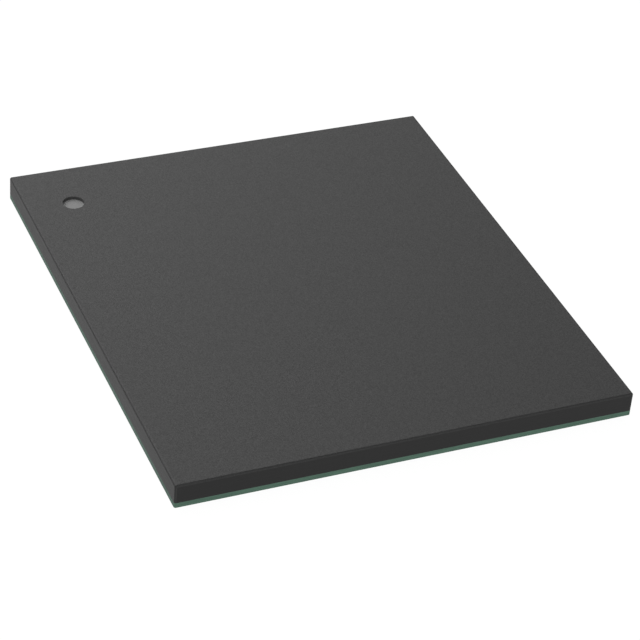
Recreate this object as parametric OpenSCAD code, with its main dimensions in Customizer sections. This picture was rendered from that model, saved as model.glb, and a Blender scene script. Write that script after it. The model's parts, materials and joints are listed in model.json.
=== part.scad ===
// Ball grid array memory chip. A moulded body sits on a laminate substrate, which stands on solder
// balls. Inside the moulding, memory dies are stacked like stairs beside a controller die, and
// fine bond wires lead from the dies to the substrate.
// Millimetres, +Z up. The origin is the middle of the plane that the balls stand on.
// +Y is the back, and corner A1 is at the back left.

/* [Package outline] */
// Width of the body, along X
body_x = 11.5; // [10:0.1:14]
// Length of the body, along Y
body_y = 13; // [11.6:0.1:16]
// Thickness of the laminate substrate
substrate_t = 0.135; // [0.1:0.005:0.3]
// Thickness of the moulding above the substrate
mould_t = 0.5; // [0.45:0.01:0.9]
// Rounding of the moulding's top edges and of the body's upright corners
edge_r = 0.05; // [0.02:0.005:0.1]

/* [Index mark] */
// Diameter of the recess that marks corner A1
index_d = 0.56; // [0.3:0.02:1]
// Distance from the body's left side to the middle of the recess
index_inset_x = 1.23; // [0.8:0.01:2.5]
// Distance from the body's back side to the middle of the recess
index_inset_y = 1.6; // [0.8:0.01:2.5]
// Depth of the recess in the moulding
index_depth = 0.105; // [0.05:0.005:0.13]
// Thickness of the pale ink on the floor of the recess
ink_t = 0.01; // [0.005:0.005:0.03]

/* [Ball grid] */
// Rows and columns of the full grid
grid_n = 14; // [12:1:16]
// Rings of balls that are filled, counted from the outside of the grid
outer_rings = 3; // [2:1:3]
// Ring that is filled again inside the gap, counted from the outside
inner_ring = 5; // [5:1:6]
// Distance between the middles of neighbouring balls
ball_pitch = 0.5; // [0.45:0.05:0.65]
// Diameter of a solder ball
ball_d = 0.3; // [0.28:0.01:0.38]
// Diameter of the hole in the solder mask that a ball is seated in
opening_d = 0.275; // [0.2:0.005:0.275]
// Thickness of the solder mask on the underside
mask_t = 0.02; // [0.01:0.005:0.03]
// Diameter of the copper land that a ball is soldered to
land_d = 0.35; // [0.3:0.01:0.42]
// Thickness of the copper lands and bond fingers
copper_t = 0.015; // [0.01:0.005:0.025]

/* [Memory dies] */
// Number of memory dies in the stack
memory_n = 4; // [1:1:4]
// Width of a memory die, along X
memory_x = 9.4; // [6:0.1:9.8]
// Length of a memory die, along Y
memory_y = 6.6; // [5:0.1:7.8]
// Thickness of a memory die
memory_t = 0.06; // [0.04:0.005:0.07]
// Thickness of the adhesive film under each memory die
memory_film_t = 0.015; // [0.01:0.005:0.02]
// How far each die is set back from the die under it
stack_step = 0.3; // [0.24:0.01:0.4]
// Distance from the top die to the back of the body
stack_margin = 0.7; // [0.4:0.05:1]
// Distance between the bond pads of a memory die
memory_pad_pitch = 0.44; // [0.2:0.02:0.5]

/* [Controller die] */
// Width of the controller die, along X
controller_x = 3; // [2:0.1:4]
// Length of the controller die, along Y
controller_y = 2; // [1.4:0.1:2.4]
// Thickness of the controller die
controller_t = 0.1; // [0.06:0.01:0.15]
// Thickness of the adhesive film under the controller die
controller_film_t = 0.02; // [0.01:0.005:0.03]
// Distance between the bond pads of the controller die
controller_pad_pitch = 0.22; // [0.14:0.02:0.3]

/* [Bond wires] */
// Diameter of a bond wire
wire_d = 0.02; // [0.016:0.002:0.026]
// Diameter of the bond that a wire starts from
bond_d = 0.048; // [0.04:0.002:0.06]
// Angle between a wire and the straight line across its loop, where the wire leaves the die
loop_angle = 58; // [50:1:65]
// Distance from a die's edge to the middle of its bond pads
pad_inset = 0.08; // [0.06:0.01:0.1]
// Distance on a memory die's pad from its own bond to where the next die's wire lands
landing_gap = 0.07; // [0.06:0.01:0.08]
// Distance from the end of a row of pads to the die's corner
pad_corner = 0.35; // [0.2:0.05:0.5]
// Distance from a die's edge to its bond fingers
finger_gap = 0.25; // [0.2:0.01:0.35]
// Length of a bond finger
finger_l = 0.2; // [0.15:0.01:0.3]
// Width of a bond finger
finger_w = 0.08; // [0.05:0.01:0.1]

/* [Hidden] */
$fn = 48;
// Overlap that carries a cut clear of the face that it opens
cut = 0.05;

// Heights of the main faces: a ball is a sphere, cut flat where it fills its hole in the mask
ball_r = ball_d / 2;
opening_r = opening_d / 2;
substrate_z = ball_r + sqrt(ball_r * ball_r - opening_r * opening_r);
mould_z = substrate_z + substrate_t;
top_z = mould_z + mould_t;
land_z = substrate_z + mask_t;
finger_z = mould_z - copper_t;
ink_z = top_z - index_depth;

// Place of the index recess
index_place = [index_inset_x - body_x / 2, body_y / 2 - index_inset_y];

// A bond is the wire's melted end, pressed down to the thickness of the wire
bond_t = wire_d;

// The stack of memory dies: the rise from die to die, and the front edge of the lowest die
memory_step_z = memory_film_t + memory_t;
stack_front = body_y / 2 - stack_margin - (memory_n - 1) * stack_step - memory_y;

// The controller die is in the middle of the strip between the memory dies' fingers and the front
fingers_front = stack_front - finger_gap - finger_l;
controller_place_y = (fingers_front - body_y / 2) / 2;
controller_top = mould_z + controller_film_t + controller_t;

function memory_name(part, k) = str("memory_", part, "_", k);

// Distances of a row of pads from the middle of a die's edge
function pad_row(edge, pitch) =
    let (gaps = floor((edge - 2 * pad_corner) / pitch))
    [for (i = [0:gaps]) (i - gaps / 2) * pitch];

// Number of the ring that a place in the grid is on, with 1 outermost
function ring(column, row) = min(column, grid_n + 1 - column, row, grid_n + 1 - row);

// The corner place of the empty ring next to A1 holds one more ball, which marks that corner
function filled(column, row) =
    ring(column, row) <= outer_rings || ring(column, row) == inner_ring
    || (column == outer_rings + 1 && row == outer_rings + 1);

// Columns run to the right from A1, and rows run to the front
function grid_place(column, row) =
    [(column - (grid_n + 1) / 2) * ball_pitch, ((grid_n + 1) / 2 - row) * ball_pitch];

// Front edge and underside of memory die k, counted from 1 at the bottom
function memory_front(k) = stack_front + (k - 1) * stack_step;
function memory_base(k) = mould_z + (k - 1) * memory_step_z;

// Puts its children at every ball's place
module at_balls() {
    for (column = [1:grid_n], row = [1:grid_n])
        if (filled(column, row)) translate(grid_place(column, row)) children();
}

// A block whose four walls and upright corners all have the outline of the child, which is drawn
// from the wall's inner line outwards
module walled_block(size, wall) {
    inner = [size.x - 2 * wall, size.y - 2 * wall];
    translate([-inner.x / 2, -inner.y / 2, 0]) cube([inner.x, inner.y, size.z]);
    for (side = [0:3]) {
        along = side % 2 == 0 ? inner : [inner.y, inner.x];
        rotate(90 * side) {
            translate([along.x / 2, 0, 0]) rotate([90, 0, 0])
                linear_extrude(along.y, center = true) children();
            translate([along.x / 2, along.y / 2, 0]) rotate_extrude(angle = 90) children();
        }
    }
}

// Outline of the moulding's wall: upright, with a rounded top edge
module mould_wall() {
    square([edge_r, mould_t - edge_r]);
    translate([0, mould_t - edge_r]) intersection() {
        circle(edge_r);
        square(edge_r);
    }
}

module index_recess() {
    translate([index_place.x, index_place.y, ink_z]) cylinder(d = index_d, h = index_depth + cut);
}

// Body of moulding compound, which has flowed around the dies and the wires
module mould_cap() {
    color([0.31, 0.31, 0.31]) difference() {
        translate([0, 0, mould_z]) walled_block([body_x, body_y, mould_t], edge_r) mould_wall();
        index_recess();
        for (k = [1:memory_n]) {
            memory_block(k, memory_base(k), memory_step_z);
            memory_wires(k);
        }
        controller_block(mould_z, controller_film_t + controller_t);
        controller_wires();
    }
}

module index_mark() {
    color([0.52, 0.52, 0.52]) translate([index_place.x, index_place.y, ink_z])
        cylinder(d = index_d, h = ink_t);
}

// Glass and resin laminate with green solder mask, and places for the copper on both sides
module substrate() {
    color([0.31, 0.4, 0.35]) difference() {
        translate([0, 0, substrate_z]) walled_block([body_x, body_y, substrate_t], edge_r)
            square([edge_r, substrate_t]);
        at_balls() translate([0, 0, substrate_z - cut]) cylinder(d = opening_d, h = mask_t + cut);
        ball_lands();
        bond_fingers(cut);
    }
}

module ball_lands() {
    color([0.72, 0.45, 0.2]) at_balls() translate([0, 0, land_z])
        cylinder(d = land_d, h = copper_t);
}

// A ball is round below the mask and fills its hole up to the copper land
module solder_balls() {
    color([0.75, 0.75, 0.74]) at_balls() rotate_extrude() {
        intersection() {
            translate([0, ball_r]) circle(ball_r);
            square([ball_r, substrate_z]);
        }
        translate([0, substrate_z]) square([opening_r, mask_t]);
    }
}

// A bond finger runs outwards from the origin, along +X
module finger(above) {
    translate([0, -finger_w / 2, finger_z]) cube([finger_l, finger_w, copper_t + above]);
}

// Turns and places its children at each of the controller's bond pads, on all four edges. The pad
// is at the origin, and +X leads out over the die's edge.
module at_controller_pads() {
    for (side = [0:3]) {
        along = side % 2 == 0 ? [controller_x, controller_y] : [controller_y, controller_x];
        for (place = pad_row(along.y, controller_pad_pitch))
            translate([0, controller_place_y, 0]) rotate(90 * side)
                translate([along.x / 2 - pad_inset, place, 0]) children();
    }
}

// The same for memory die k, which has its pads on the front edge
module at_memory_pads(k) {
    for (place = pad_row(memory_x, memory_pad_pitch))
        translate([place, memory_front(k) + pad_inset, 0]) rotate(-90) children();
}

// Gold-plated fingers, let into the top of the substrate
module bond_fingers(above = 0) {
    color([0.83, 0.67, 0.3]) {
        at_memory_pads(1) translate([pad_inset + finger_gap, 0, 0]) finger(above);
        at_controller_pads() translate([pad_inset + finger_gap, 0, 0]) finger(above);
    }
}

module controller_block(base, height) {
    translate([-controller_x / 2, controller_place_y - controller_y / 2, base])
        cube([controller_x, controller_y, height]);
}

module controller_film() {
    color([0.55, 0.5, 0.4]) controller_block(mould_z, controller_film_t);
}

module controller_die() {
    color([0.4, 0.42, 0.47]) controller_block(mould_z + controller_film_t, controller_t);
}

module memory_block(k, base, height) {
    translate([-memory_x / 2, memory_front(k), base]) cube([memory_x, memory_y, height]);
}

module memory_film(k) {
    color([0.55, 0.5, 0.4]) memory_block(k, memory_base(k), memory_film_t);
}

module memory_die(k) {
    color([0.4, 0.42, 0.47]) memory_block(k, memory_base(k) + memory_film_t, memory_t);
}

// One bond wire, from a pad at height from_z over to a landing at height to_z that is span away
// along +X. The loop is one arc, carried on into the bond and past the landing.
module wire_loop(span, from_z, to_z) {
    start_z = from_z + bond_t;
    drop = start_z - to_z;
    chord = sqrt(span * span + drop * drop);
    tilt = atan2(drop, span);
    radius = chord / (2 * sin(loop_angle));
    into_bond = asin(wire_d / 2 / tan(loop_angle - tilt) / radius);
    past_landing = asin(wire_d / radius);
    middle = [
        span / 2 - radius * cos(loop_angle) * sin(tilt),
        start_z - drop / 2 - radius * cos(loop_angle) * cos(tilt)
    ];
    translate([0, 0, from_z]) cylinder(d = bond_d, h = bond_t);
    translate([middle.x, 0, middle.y]) rotate([90, tilt, 0])
        rotate(90 - loop_angle - past_landing)
            rotate_extrude(angle = 2 * loop_angle + into_bond + past_landing)
                translate([radius, 0]) circle(d = wire_d);
}

// Takes away what its children have below the face that they land on
module landed(face_z) {
    difference() {
        union() children();
        translate([-body_x / 2, -body_y / 2, face_z - mould_t]) cube([body_x, body_y, mould_t]);
    }
}

module controller_wires() {
    color([0.83, 0.67, 0.3]) landed(mould_z) at_controller_pads()
        wire_loop(pad_inset + finger_gap + finger_l / 2, controller_top, mould_z);
}

// Wires of die k lead to the die under it, and those of the lowest die to the substrate
module memory_wires(k) {
    span = k == 1 ? pad_inset + finger_gap + finger_l / 2 : stack_step - landing_gap;
    color([0.83, 0.67, 0.3]) landed(memory_base(k)) at_memory_pads(k)
        wire_loop(span, memory_base(k) + memory_step_z, memory_base(k));
}

mould_cap();
index_mark();
substrate();
ball_lands();
solder_balls();
bond_fingers();
controller_die();
controller_film();
controller_wires();
for (k = [1:memory_n]) {
    memory_die(k);
    memory_film(k);
    memory_wires(k);
}
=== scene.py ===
import json
import math

import bmesh
import bpy
from mathutils import Matrix, Vector


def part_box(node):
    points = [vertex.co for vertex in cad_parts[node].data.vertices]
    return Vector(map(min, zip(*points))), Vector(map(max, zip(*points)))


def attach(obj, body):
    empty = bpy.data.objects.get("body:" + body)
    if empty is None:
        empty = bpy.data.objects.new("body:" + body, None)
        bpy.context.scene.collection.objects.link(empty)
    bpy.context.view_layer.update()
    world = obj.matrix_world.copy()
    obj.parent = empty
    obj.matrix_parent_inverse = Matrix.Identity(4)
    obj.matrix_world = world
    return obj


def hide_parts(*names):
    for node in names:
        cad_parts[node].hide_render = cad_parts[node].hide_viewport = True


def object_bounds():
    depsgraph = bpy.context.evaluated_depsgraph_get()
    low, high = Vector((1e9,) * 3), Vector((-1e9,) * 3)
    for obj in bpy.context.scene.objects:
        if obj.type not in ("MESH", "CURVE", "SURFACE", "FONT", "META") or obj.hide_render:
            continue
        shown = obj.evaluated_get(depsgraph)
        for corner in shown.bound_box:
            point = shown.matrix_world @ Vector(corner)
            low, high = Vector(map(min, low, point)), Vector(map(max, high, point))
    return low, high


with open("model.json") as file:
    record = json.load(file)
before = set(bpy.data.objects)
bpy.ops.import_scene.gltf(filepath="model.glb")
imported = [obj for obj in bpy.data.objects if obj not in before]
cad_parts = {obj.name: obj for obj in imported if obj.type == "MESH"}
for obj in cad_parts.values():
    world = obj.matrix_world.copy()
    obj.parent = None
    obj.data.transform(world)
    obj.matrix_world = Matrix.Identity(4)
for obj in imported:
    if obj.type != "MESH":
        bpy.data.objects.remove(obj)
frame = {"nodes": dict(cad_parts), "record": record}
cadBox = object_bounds()
print("frame loaded with", len(frame["nodes"]), "nodes")

mm = 0.001  # sizes are given in millimetres, and the scene is in metres
scene = bpy.context.scene
scene.view_settings.view_transform = "Standard"

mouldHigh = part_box("mould_cap")[1]


# Camera, at the photograph's angle: turned about Z, tipped up, then rolled
viewpoint = {
    "place": (-20.7276, -45.45005, 36.03433),
    "turn": -24.96995,
    "tip": 53.94171,
    "roll": 5.03355,
    "lens": 138.4794,
    "sensor": 36,
    "nearest": 1,
    "furthest": 5000,
}

cameraData = bpy.data.cameras.new("camera")
cameraData.lens = viewpoint["lens"]
cameraData.sensor_width = viewpoint["sensor"]
cameraData.clip_start = viewpoint["nearest"] * mm
cameraData.clip_end = viewpoint["furthest"] * mm
camera = bpy.data.objects.new("camera", cameraData)
scene.collection.objects.link(camera)
camera.matrix_world = (
    Matrix.Translation(Vector(viewpoint["place"]) * mm)
    @ Matrix.Rotation(math.radians(viewpoint["turn"]), 4, "Z")
    @ Matrix.Rotation(math.radians(viewpoint["tip"]), 4, "X")
    @ Matrix.Rotation(math.radians(viewpoint["roll"]), 4, "Z")
)
scene.camera = camera
print("camera placed")


# Short ways to add shader nodes
def plug(tree, socket, value):
    if isinstance(value, bpy.types.NodeSocket):
        tree.links.new(value, socket)
    else:
        socket.default_value = value


def addNode(tree, kind, sockets, **settings):
    node = tree.nodes.new("ShaderNode" + kind)
    for name, value in settings.items():
        setattr(node, name, value)
    for name, value in sockets.items():
        plug(tree, node.inputs[name], value)
    return node


def mathOf(tree, operation, *values):
    return addNode(tree, "Math", dict(enumerate(values)), operation=operation).outputs[0]


# Runs smoothly from start to end as a length goes from low to high
def rise(tree, value, low, high, start=0, end=1):
    sockets = {"Value": value, "From Min": low * mm, "From Max": high * mm}
    sockets.update({"To Min": start, "To Max": end})
    return addNode(tree, "MapRange", sockets, interpolation_type="SMOOTHSTEP").outputs[0]


def fall(tree, value, low, high):
    return rise(tree, value, low, high, 1, 0)


# Stretches the middle of a noise, where most of it lies, over a range
def spread(tree, noise, low, high, middle=(0.25, 0.75)):
    sockets = {"Value": noise, "From Min": middle[0], "From Max": middle[1]}
    sockets.update({"To Min": low, "To Max": high})
    return addNode(tree, "MapRange", sockets).outputs[0]


# Noise whose grains are about size across, along X, Y and Z
def noiseOf(tree, place, size, detail=2, turn=(0, 0, 0), roughness=0.55):
    turned = addNode(tree, "Mapping", {"Vector": place, "Rotation": turn}).outputs[0]
    scale = tuple(1 / (length * mm) for length in size)
    placed = addNode(tree, "Mapping", {"Vector": turned, "Scale": scale}).outputs[0]
    sockets = {"Vector": placed, "Scale": 1, "Detail": detail, "Roughness": roughness}
    return addNode(tree, "TexNoise", sockets).outputs[0]


def rampOf(tree, noise, dark, light, low=0.3, high=0.7):
    node = addNode(tree, "ValToRGB", {"Fac": noise})
    ends = node.color_ramp.elements
    ends[0].position, ends[0].color = low, (*dark, 1)
    ends[1].position, ends[1].color = high, (*light, 1)
    return node.outputs[0]


# A Mix node's sockets go by number: 6 and 7 take colours, 2 and 3 take plain values
def mixOf(tree, factor, first, second, blend="MIX"):
    sockets = {0: factor, 6: first, 7: second}
    return addNode(tree, "Mix", sockets, data_type="RGBA", blend_type=blend).outputs[2]


def mixValue(tree, factor, first, second):
    return addNode(tree, "Mix", {0: factor, 2: first, 3: second}).outputs[0]


def bumpOf(tree, height, distance=1, strength=1):
    sockets = {"Height": height, "Distance": distance, "Strength": strength}
    return addNode(tree, "Bump", sockets).outputs[0]


# Bump that follows one noise on the flat faces and another on the sides
def sideBump(tree, onSide, flat, flatDepth, side, sideDepth):
    flatHeight = mathOf(tree, "MULTIPLY", flat, flatDepth * mm)
    sideHeight = mathOf(tree, "MULTIPLY", side, sideDepth * mm)
    return bumpOf(tree, mixValue(tree, onSide, flatHeight, sideHeight))


# A new material, with its tree, its shader and its place on the piece
def startFinish(name, sockets):
    finish = bpy.data.materials.new(name)
    finish.use_nodes = True
    tree = finish.node_tree
    shader = tree.nodes["Principled BSDF"]
    for socket, value in sockets.items():
        shader.inputs[socket].default_value = value
    place = tree.nodes.new("ShaderNodeTexCoord").outputs["Object"]
    return finish, tree, shader, place


# A finish whose colour, roughness and relief all follow one grain
def grainFinish(name, look):
    sockets = {"Specular IOR Level": look["gloss"], "Metallic": look["metallic"]}
    finish, tree, shader, place = startFinish(name, sockets)
    grain = noiseOf(tree, place, look["grain"], detail=3)
    plug(tree, shader.inputs["Base Color"], rampOf(tree, grain, look["dark"], look["light"]))
    plug(tree, shader.inputs["Roughness"], spread(tree, grain, *look["roughness"]))
    bump = bumpOf(tree, grain, look["depth"] * mm, look["relief"])
    plug(tree, shader.inputs["Normal"], bump)
    return finish


# One value three times: a grey, or a grain as long as it is wide and high
def even(value):
    return (value, value, value)


# The body's rounded edges and upright corners, as in the CAD, and how deep the finish of a
# sawn side reaches before it fades out
bodySides = {"edgeRound": 0.05, "skin": (0.0005, 0.004)}


def lengthOf(tree, *parts):
    joined = addNode(tree, "CombineXYZ", dict(enumerate(parts))).outputs[0]
    return addNode(tree, "VectorMath", {0: joined}, operation="LENGTH").outputs["Value"]


# How far a point is in from the planes of the side faces, and below the top
def insetOf(tree, place):
    positive = addNode(tree, "VectorMath", {0: place}, operation="ABSOLUTE").outputs[0]
    sockets = {0: tuple(mouldHigh), 1: positive}
    inset = addNode(tree, "VectorMath", sockets, operation="SUBTRACT").outputs[0]
    return addNode(tree, "SeparateXYZ", {0: inset}).outputs


# How far a point is in from the sides, round the upright corners too
def fromSidesOf(tree, insetX, insetY):
    radius = bodySides["edgeRound"] * mm
    short = []
    for inset in (insetX, insetY):
        short.append(mathOf(tree, "MAXIMUM", mathOf(tree, "SUBTRACT", radius, inset), 0))
    inner = mathOf(tree, "MAXIMUM", mathOf(tree, "MINIMUM", insetX, insetY), radius)
    return mathOf(tree, "SUBTRACT", inner, lengthOf(tree, *short))


# Moulding compound: nearly black, with fine filler grain on top and faint saw marks on the sides.
# Most of its grey is gloss, which is strongest where a face is seen at a low angle.
mouldLook = {
    "gloss": 0.25,
    "topDark": even(0.0015),
    "topLight": even(0.0122),
    "grain": even(0.0225),
    "topRoughness": (0.585, 0.455),
    "topDepth": 0.002,
    "sawDark": even(0.0055),
    "sawLight": even(0.0065),
    "sawMark": (0.9, 0.9, 0.018),
    "sawRoughness": (0.48, 0.56),
    "sawDepth": 0.002,
    # A lighter band painted along the rounded edges, strongest on the front and back: a painted
    # highlight for the light the rounding catches
    "sheenBandDark": even(0.015),
    "sheenBandLight": even(0.024),
    "sheenBandRoughness": (0.59, 0.52),
    "sheenBandReach": (0.042, 0.058),  # from the sharp edge that the rounding took off
    "sheenBandDown": (0.004, 0.016, 0.2),  # down from the top, and the share at the top itself
    "sheenBandIn": (0.012, 0.034, 0.3),  # in from the X sides, and the share on those sides
    # The recess wall is painted paler than the rest, as painted fill light that offsets its shade
    "wallFillDark": even(0.045),
    "wallFillLight": even(0.058),
    "wallIn": (0.2, 0.3),  # the recess wall is well in from the sides
    "wallDown": (0.001, 0.006),  # and below the top
}


def mouldFinish(look):
    sockets = {"Specular IOR Level": look["gloss"]}
    finish, tree, shader, place = startFinish("moulding_compound", sockets)
    grain = noiseOf(tree, place, look["grain"], detail=1)
    sawn = noiseOf(tree, place, look["sawMark"])
    insetX, insetY, below = insetOf(tree, place)
    fromSides = fromSidesOf(tree, insetX, insetY)
    onSide = fall(tree, fromSides, *bodySides["skin"])

    # Painted highlight: a band along the rounded edges, faded at the top and on the X sides
    fromTopEdge = lengthOf(tree, fromSides, below)
    fromUpright = lengthOf(tree, insetX, insetY)
    fromEdge = mathOf(tree, "MINIMUM", fromTopEdge, fromUpright)
    onEdge = fall(tree, fromEdge, *look["sheenBandReach"])
    down = rise(tree, below, *look["sheenBandDown"])
    inwards = rise(tree, insetX, *look["sheenBandIn"])
    sheenBand = mathOf(tree, "MULTIPLY", onEdge, mathOf(tree, "MULTIPLY", down, inwards))

    # Painted fill light: a paler colour on the recess wall, in from the sides and below the top
    wallIn = rise(tree, fromSides, *look["wallIn"])
    onFilledWall = mathOf(tree, "MULTIPLY", wallIn, rise(tree, below, *look["wallDown"]))

    top = rampOf(tree, grain, look["topDark"], look["topLight"])
    side = rampOf(tree, sawn, look["sawDark"], look["sawLight"])
    sheenBandColour = rampOf(tree, grain, look["sheenBandDark"], look["sheenBandLight"])
    wall = rampOf(tree, grain, look["wallFillDark"], look["wallFillLight"])
    # The painted highlight on the rounded edges goes over the top and side colours
    colour = mixOf(tree, sheenBand, mixOf(tree, onSide, top, side), sheenBandColour)
    # The recess wall takes its paler painted colour
    plug(tree, shader.inputs["Base Color"], mixOf(tree, onFilledWall, colour, wall))

    topRoughness = spread(tree, grain, *look["topRoughness"])
    sideRoughness = spread(tree, sawn, *look["sawRoughness"])
    sheenBandRoughness = spread(tree, grain, *look["sheenBandRoughness"])
    roughness = mixValue(tree, onSide, topRoughness, sideRoughness)
    plug(tree, shader.inputs["Roughness"], mixValue(tree, onEdge, roughness, sheenBandRoughness))

    bump = sideBump(tree, onSide, grain, look["topDepth"], sawn, look["sawDepth"])
    plug(tree, shader.inputs["Normal"], bump)
    return finish


# Laminate: glass and resin layers on the sawn sides, green mask on the flat faces
laminateLook = {
    "gloss": 0.15,
    "sideDark": (0.061, 0.111, 0.083),
    "sideLight": (0.077, 0.141, 0.105),
    "sideRoughness": (0.8, 0.92),
    "layer": (0.7, 0.7, 0.022),
    "layerTurn": (0.02, 0.03, 0),
    "layerDepth": 0.002,
    "bundle": (0.35, 0.35, 0.09),
    "bundleDark": even(0.95),
    "bundleLight": even(1.05),
    "xSideShade": (1.0, 0.86, 0.935),  # darker tint painted on the X sides, as painted shade
    "maskDark": (0.014, 0.075, 0.042),
    "maskLight": (0.020, 0.100, 0.056),
    "maskRoughness": (0.32, 0.46),
    "maskCloud": even(0.5),
    "maskDepth": 0.004,
}


def laminateFinish(look):
    sockets = {"Specular IOR Level": look["gloss"]}
    finish, tree, shader, place = startFinish("green_laminate", sockets)
    layers = noiseOf(tree, place, look["layer"], turn=look["layerTurn"])
    bundles = noiseOf(tree, place, look["bundle"], detail=1)
    cloud = noiseOf(tree, place, look["maskCloud"], detail=3)
    insetX, insetY = insetOf(tree, place)[:2]
    onSide = fall(tree, fromSidesOf(tree, insetX, insetY), *bodySides["skin"])
    facesX = fall(tree, insetX, *bodySides["skin"])

    side = rampOf(tree, layers, look["sideDark"], look["sideLight"])
    shade = rampOf(tree, bundles, look["bundleDark"], look["bundleLight"])
    side = mixOf(tree, 1, side, shade, "MULTIPLY")
    # Painted shade: the X sides take a darker tint
    xSideShaded = mixOf(tree, 1, side, (*look["xSideShade"], 1), "MULTIPLY")
    side = mixOf(tree, facesX, side, xSideShaded)
    mask = rampOf(tree, cloud, look["maskDark"], look["maskLight"])
    plug(tree, shader.inputs["Base Color"], mixOf(tree, onSide, mask, side))

    sideRoughness = spread(tree, layers, *look["sideRoughness"])
    maskRoughness = spread(tree, cloud, *look["maskRoughness"])
    plug(tree, shader.inputs["Roughness"], mixValue(tree, onSide, maskRoughness, sideRoughness))

    bump = sideBump(tree, onSide, cloud, look["maskDepth"], layers, look["layerDepth"])
    plug(tree, shader.inputs["Normal"], bump)
    return finish


# Silicon: fine rows of cells over a bluish grey
siliconLook = {
    "gloss": 0.5,
    "dark": (0.10, 0.11, 0.14),
    "light": (0.19, 0.20, 0.24),
    "rampEnds": (0.1, 0.5),
    "row": (0.02, 3.0, 3.0),
    "block": (0.9, 0.6, 0.6),
    "roughness": (0.15, 0.3),
    "depth": 0.0003,
    "relief": 0.3,
}


def siliconFinish(look):
    sockets = {"Specular IOR Level": look["gloss"]}
    finish, tree, shader, place = startFinish("polished_silicon", sockets)
    rows = noiseOf(tree, place, look["row"], detail=1)
    blocks = noiseOf(tree, place, look["block"], detail=1)
    cells = mathOf(tree, "MULTIPLY", rows, blocks)
    colour = rampOf(tree, cells, look["dark"], look["light"], *look["rampEnds"])
    plug(tree, shader.inputs["Base Color"], colour)
    plug(tree, shader.inputs["Roughness"], spread(tree, rows, *look["roughness"]))
    bump = bumpOf(tree, rows, look["depth"] * mm, look["relief"])
    plug(tree, shader.inputs["Normal"], bump)
    return finish


# Pale ink on the floor of the index recess
inkLook = {
    "gloss": 0.2,
    "metallic": 0,
    "dark": even(0.126),
    "light": even(0.145),
    "grain": even(0.05),
    "roughness": (0.6, 0.75),
    "depth": 0.003,
    "relief": 0.3,
}

# Adhesive film under the dies
filmLook = {
    "gloss": 0.5,
    "metallic": 0,
    "dark": (0.22, 0.17, 0.10),
    "light": (0.34, 0.28, 0.18),
    "grain": even(0.12),
    "roughness": (0.45, 0.6),
    "depth": 0.002,
    "relief": 0.3,
}

# Metals: the balls, the lands, and the fingers and wires
solderLook = {
    "gloss": 0.5,
    "metallic": 1,
    "dark": (0.62, 0.62, 0.61),
    "light": (0.80, 0.80, 0.78),
    "grain": even(0.03),
    "roughness": (0.24, 0.42),
    "depth": 0.002,
    "relief": 0.3,
}

copperLook = {
    "gloss": 0.5,
    "metallic": 1,
    "dark": (0.60, 0.27, 0.14),
    "light": (0.80, 0.42, 0.24),
    "grain": even(0.04),
    "roughness": (0.3, 0.5),
    "depth": 0.001,
    "relief": 0.3,
}

goldLook = {
    "gloss": 0.5,
    "metallic": 1,
    "dark": (0.74, 0.50, 0.16),
    "light": (0.90, 0.66, 0.26),
    "grain": even(0.03),
    "roughness": (0.18, 0.34),
    "depth": 0.0005,
    "relief": 0.3,
}

finishes = {
    "moulding": mouldFinish(mouldLook),
    "laminate": laminateFinish(laminateLook),
    "silicon": siliconFinish(siliconLook),
    "index_ink": grainFinish("index_ink_matt", inkLook),
    "die_film": grainFinish("adhesive_film", filmLook),
    "solder": grainFinish("solder_metal", solderLook),
    "copper": grainFinish("copper_metal", copperLook),
    "gold": grainFinish("gold_metal", goldLook),
}

# Every CAD node keeps its mesh and takes the finish of its slot
for subpart in frame["record"]["subparts"]:
    node = frame["nodes"][subpart["node"]]
    for slot in node.material_slots:
        slot.material = finishes[subpart["material_slot"]]
print("finishes made:", ", ".join(finishes))


def vertsOf(geometry):
    return [item for item in geometry if isinstance(item, bmesh.types.BMVert)]


# Gives a flat sheet its thickness downwards
def thicken(mesh, faces, depth):
    grown = bmesh.ops.extrude_face_region(mesh, geom=faces, use_keep_orig=True)["geom"]
    moved = vertsOf(grown)
    bmesh.ops.translate(mesh, verts=moved, vec=(0, 0, -depth))
    return moved


# A new piece from a mesh in millimetres, which rides on the body and takes the finish
def addPiece(name, mesh, place, finish):
    bmesh.ops.scale(mesh, verts=mesh.verts, vec=(mm, mm, mm))
    bmesh.ops.translate(mesh, verts=mesh.verts, vec=place)
    bmesh.ops.recalc_face_normals(mesh, faces=mesh.faces)
    data = bpy.data.meshes.new(name)
    mesh.to_mesh(data)
    mesh.free()
    piece = bpy.data.objects.new(name, data)
    scene.collection.objects.link(piece)
    data.materials.append(finish)
    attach(piece, "root")
    return piece


# Ink in the index recess: a film that climbs the wall a little at its rim
indexInk = {
    "film": 0.017,
    "rim": 0.027,
    "climb": 0.05,
    "climbRound": 0.03,
    "climbSegments": 4,
    "gap": 0.0005,
    "segments": 96,
    "flat": 0.999,  # faces as level as this stay flat, and the rest are smooth
}


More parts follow.
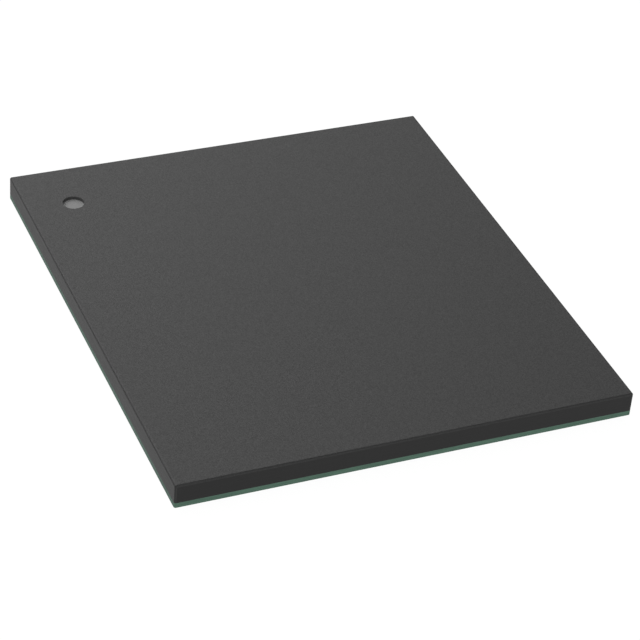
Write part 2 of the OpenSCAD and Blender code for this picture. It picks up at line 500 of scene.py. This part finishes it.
def makeIndexInk(sizes):
    low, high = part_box("index_mark")
    radius = (high.x - low.x) / 2 / mm - sizes["gap"]
    mesh = bmesh.new()
    bmesh.ops.create_circle(
        mesh, cap_ends=True, segments=sizes["segments"], radius=radius,
        matrix=Matrix.Translation((0, 0, sizes["rim"])),
    )
    film = mesh.faces[:]
    bmesh.ops.inset_region(
        mesh, faces=film, use_boundary=True, use_even_offset=True,
        thickness=sizes["climb"], depth=sizes["film"] - sizes["rim"],
    )
    bmesh.ops.bevel(
        mesh, geom=film[0].edges[:], offset=sizes["climbRound"], segments=sizes["climbSegments"],
        profile=0.5, affect="EDGES", material=-1,
    )
    lowered = thicken(mesh, mesh.faces[:], 0)
    bmesh.ops.scale(mesh, verts=lowered, vec=(1, 1, 0))
    middle = (low + high) / 2
    place = (middle.x, middle.y, low.z)
    ink = addPiece("index_ink", mesh, place, finishes["index_ink"])
    for face in ink.data.polygons:
        face.use_smooth = abs(face.normal.z) < sizes["flat"]
    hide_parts("index_mark")
    return ink


ink = makeIndexInk(indexInk)
print("index ink made:", len(ink.data.polygons), "faces")


# Mask over copper, which is paler than mask over laminate
coveredLook = {
    "gloss": 0.3,
    "metallic": 0,
    "dark": (0.030, 0.130, 0.066),
    "light": (0.042, 0.165, 0.084),
    "grain": even(0.25),
    "roughness": (0.3, 0.42),
    "depth": 0.002,
    "relief": 0.2,
}

# Copper under the mask on the underside: a ring, a neck and a via pad for each ball, a frame round
# the grid and a field in the middle, all standing slightly out of the mask
coveredCopper = {
    "gridCount": 14,
    "pitch": 0.5,
    "outerRings": 3,
    "innerRing": 5,
    "ringInner": 0.148,
    "ringOuter": 0.18,
    "ringSegments": 14,
    "padSegments": 9,
    "weld": 0.001,
    "relief": 0.008,
    "sunk": 0.004,
    "frameInner": (3.85, 3.85),
    "frameOuter": (5.45, 6.2),
    "frameRound": 0.35,
    "fieldHalf": (0.88, 0.88),
    "fieldRound": 0.2,
    "roundSegments": 6,
    "edgeRound": 0.003,
    "edgeSegments": 2,
}


# The CAD's ball grid: the outer rings, one inner ring, and one extra ball at the index corner
def ballPlaces(sizes):
    count, pitch, outer = sizes["gridCount"], sizes["pitch"], sizes["outerRings"]
    for column in range(1, count + 1):
        for row in range(1, count + 1):
            ring = min(column, count + 1 - column, row, count + 1 - row)
            marker = column == row == outer + 1
            if ring <= outer or ring == sizes["innerRing"] or marker:
                yield (column - (count + 1) / 2) * pitch, ((count + 1) / 2 - row) * pitch


# One ring with its neck and via pad, which lies along +X. A circle's first corner is on +Y,
# so each is turned until a side faces the neck.
def addDogBone(mesh, sizes):
    ringHalf = math.pi / sizes["ringSegments"]
    turned = Matrix.Rotation(ringHalf - math.pi / 2, 4, "Z")
    for radius in (sizes["ringInner"], sizes["ringOuter"]):
        bmesh.ops.create_circle(mesh, segments=sizes["ringSegments"], radius=radius, matrix=turned)
    loops = mesh.edges[:]
    bmesh.ops.bridge_loops(mesh, edges=loops)

    padHalf = math.pi / sizes["padSegments"]
    padRadius = sizes["ringOuter"] * math.sin(ringHalf) / math.sin(padHalf)
    padPlace = sizes["pitch"] * math.sqrt(0.5)  # in the middle between four balls
    neckRoot = max(loops, key=lambda edge: sum(vert.co.x for vert in edge.verts))
    neckEnd = bmesh.ops.extrude_edge_only(mesh, edges=[neckRoot])["geom"]
    for vert in vertsOf(neckEnd):
        vert.co.x = padPlace - padRadius * math.cos(padHalf)
    turned = Matrix.Rotation(padHalf + math.pi / 2, 4, "Z")
    bmesh.ops.create_circle(
        mesh, cap_ends=True, segments=sizes["padSegments"], radius=padRadius,
        matrix=Matrix.Translation((padPlace, 0, 0)) @ turned,
    )
    bmesh.ops.remove_doubles(mesh, verts=mesh.verts, dist=sizes["weld"])
    thicken(mesh, mesh.faces[:], sizes["relief"] + sizes["sunk"])


# A flat oblong with rounded corners
def addOblong(mesh, half, radius, segments):
    corners = bmesh.ops.create_grid(
        mesh, x_segments=1, y_segments=1, size=1, matrix=Matrix.Diagonal((*half, 1, 1))
    )["verts"]
    bmesh.ops.bevel(
        mesh, geom=corners, offset=radius, segments=segments,
        profile=0.5, affect="VERTICES", material=-1,
    )


# The frame and the field, with their lower rims rounded
def makeGround(sizes):
    ground = bmesh.new()
    for half in (sizes["frameInner"], sizes["frameOuter"]):
        addOblong(ground, half, sizes["frameRound"], sizes["roundSegments"])
    bmesh.ops.delete(ground, geom=ground.faces[:], context="FACES_ONLY")
    bmesh.ops.bridge_loops(ground, edges=ground.edges[:])
    addOblong(ground, sizes["fieldHalf"], sizes["fieldRound"], sizes["roundSegments"])
    lowered = set(thicken(ground, ground.faces[:], sizes["relief"] + sizes["sunk"]))
    rims = []
    for edge in ground.edges:
        level = all(set(face.verts) <= lowered for face in edge.link_faces)
        if set(edge.verts) <= lowered and not level:
            rims.append(edge)
    bmesh.ops.bevel(
        ground, geom=rims, offset=sizes["edgeRound"], segments=sizes["edgeSegments"],
        profile=0.5, affect="EDGES", material=-1,
    )
    return ground


def makeCoveredCopper(sizes, finish):
    mesh = bmesh.new()
    addDogBone(mesh, sizes)
    pattern = mesh.verts[:] + mesh.edges[:] + mesh.faces[:]
    for x, y in ballPlaces(sizes):
        verts = vertsOf(bmesh.ops.duplicate(mesh, geom=pattern)["geom"])
        outwards = math.atan2(math.copysign(1, y), math.copysign(1, x))
        bmesh.ops.rotate(mesh, verts=verts, matrix=Matrix.Rotation(outwards, 3, "Z"))
        bmesh.ops.translate(mesh, verts=verts, vec=(x, y, 0))
    bmesh.ops.delete(mesh, geom=pattern, context="VERTS")

    ground = makeGround(sizes)
    groundData = bpy.data.meshes.new("ground")
    ground.to_mesh(groundData)
    ground.free()
    mesh.from_mesh(groundData)
    bpy.data.meshes.remove(groundData)

    place = (0, 0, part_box("substrate")[0].z + sizes["sunk"] * mm)
    return addPiece("covered_copper", mesh, place, finish)


covered = makeCoveredCopper(coveredCopper, grainFinish("mask_over_copper", coveredLook))
print("covered copper made:", len(covered.data.polygons), "faces")


# Floor, mostly lit from below like a light table, so that the shadow stays faint
floorLook = {
    "half": 1200,
    "drop": 0.002,
    "colour": (0.03, 0.03, 0.03, 1),
    "roughness": 0.9,
    "gloss": 0,
    "glowColour": (1, 1, 1, 1),
    "glow": 0.98,
}


def makeFloor(look):
    mesh = bmesh.new()
    bmesh.ops.create_grid(mesh, x_segments=1, y_segments=1, size=look["half"] * mm)
    bmesh.ops.translate(mesh, verts=mesh.verts, vec=(0, 0, cadBox[0].z - look["drop"] * mm))
    data = bpy.data.meshes.new("floor")
    mesh.to_mesh(data)
    mesh.free()
    floor = bpy.data.objects.new("floor", data)
    scene.collection.objects.link(floor)
    sockets = {
        "Base Color": look["colour"],
        "Roughness": look["roughness"],
        "Specular IOR Level": look["gloss"],
        "Emission Color": look["glowColour"],
        "Emission Strength": look["glow"],
    }
    data.materials.append(startFinish("pale_floor", sockets)[0])


makeFloor(floorLook)


# Studio light: a pale surround with soft bright areas, each with a middle, a width and a strength.
# turn is measured from the back towards the left, and tip up from the horizon, in degrees.
surround = {
    "colour": (1, 1, 1, 1),
    "level": 0.3,
    "areas": {
        "back": {"turn": 4, "tip": 42, "width": 40, "strength": 3.6},
        "backLeft": {"turn": 35, "tip": 58, "width": 50, "strength": 0.7},
        "left": {"turn": 80, "tip": 50, "width": 50, "strength": 1.8},
        "frontLow": {"turn": 186, "tip": 10, "width": 35, "strength": 2.1},
        "right": {"turn": 255, "tip": 30, "width": 40, "strength": 0.5},
    },
}


def makeSurround(look):
    world = bpy.data.worlds.new("surround")
    world.use_nodes = True
    scene.world = world
    tree = world.node_tree
    direction = addNode(tree, "TexCoord", {}).outputs["Generated"]
    total = look["level"]
    for area in look["areas"].values():
        turn, tip, width = (math.radians(area[key]) for key in ("turn", "tip", "width"))
        out = math.cos(tip)
        middle = (-math.sin(turn) * out, math.cos(turn) * out, math.sin(tip))
        sockets = {0: direction, 1: middle}
        near = addNode(tree, "VectorMath", sockets, operation="DOT_PRODUCT").outputs["Value"]
        sockets = {"Value": near, "From Min": math.cos(width), "To Max": area["strength"]}
        soft = addNode(tree, "MapRange", sockets, interpolation_type="SMOOTHSTEP").outputs[0]
        total = mathOf(tree, "ADD", soft, total)
    background = tree.nodes["Background"]
    background.inputs["Color"].default_value = look["colour"]
    plug(tree, background.inputs["Strength"], total)


makeSurround(surround)
print("floor and light ready")
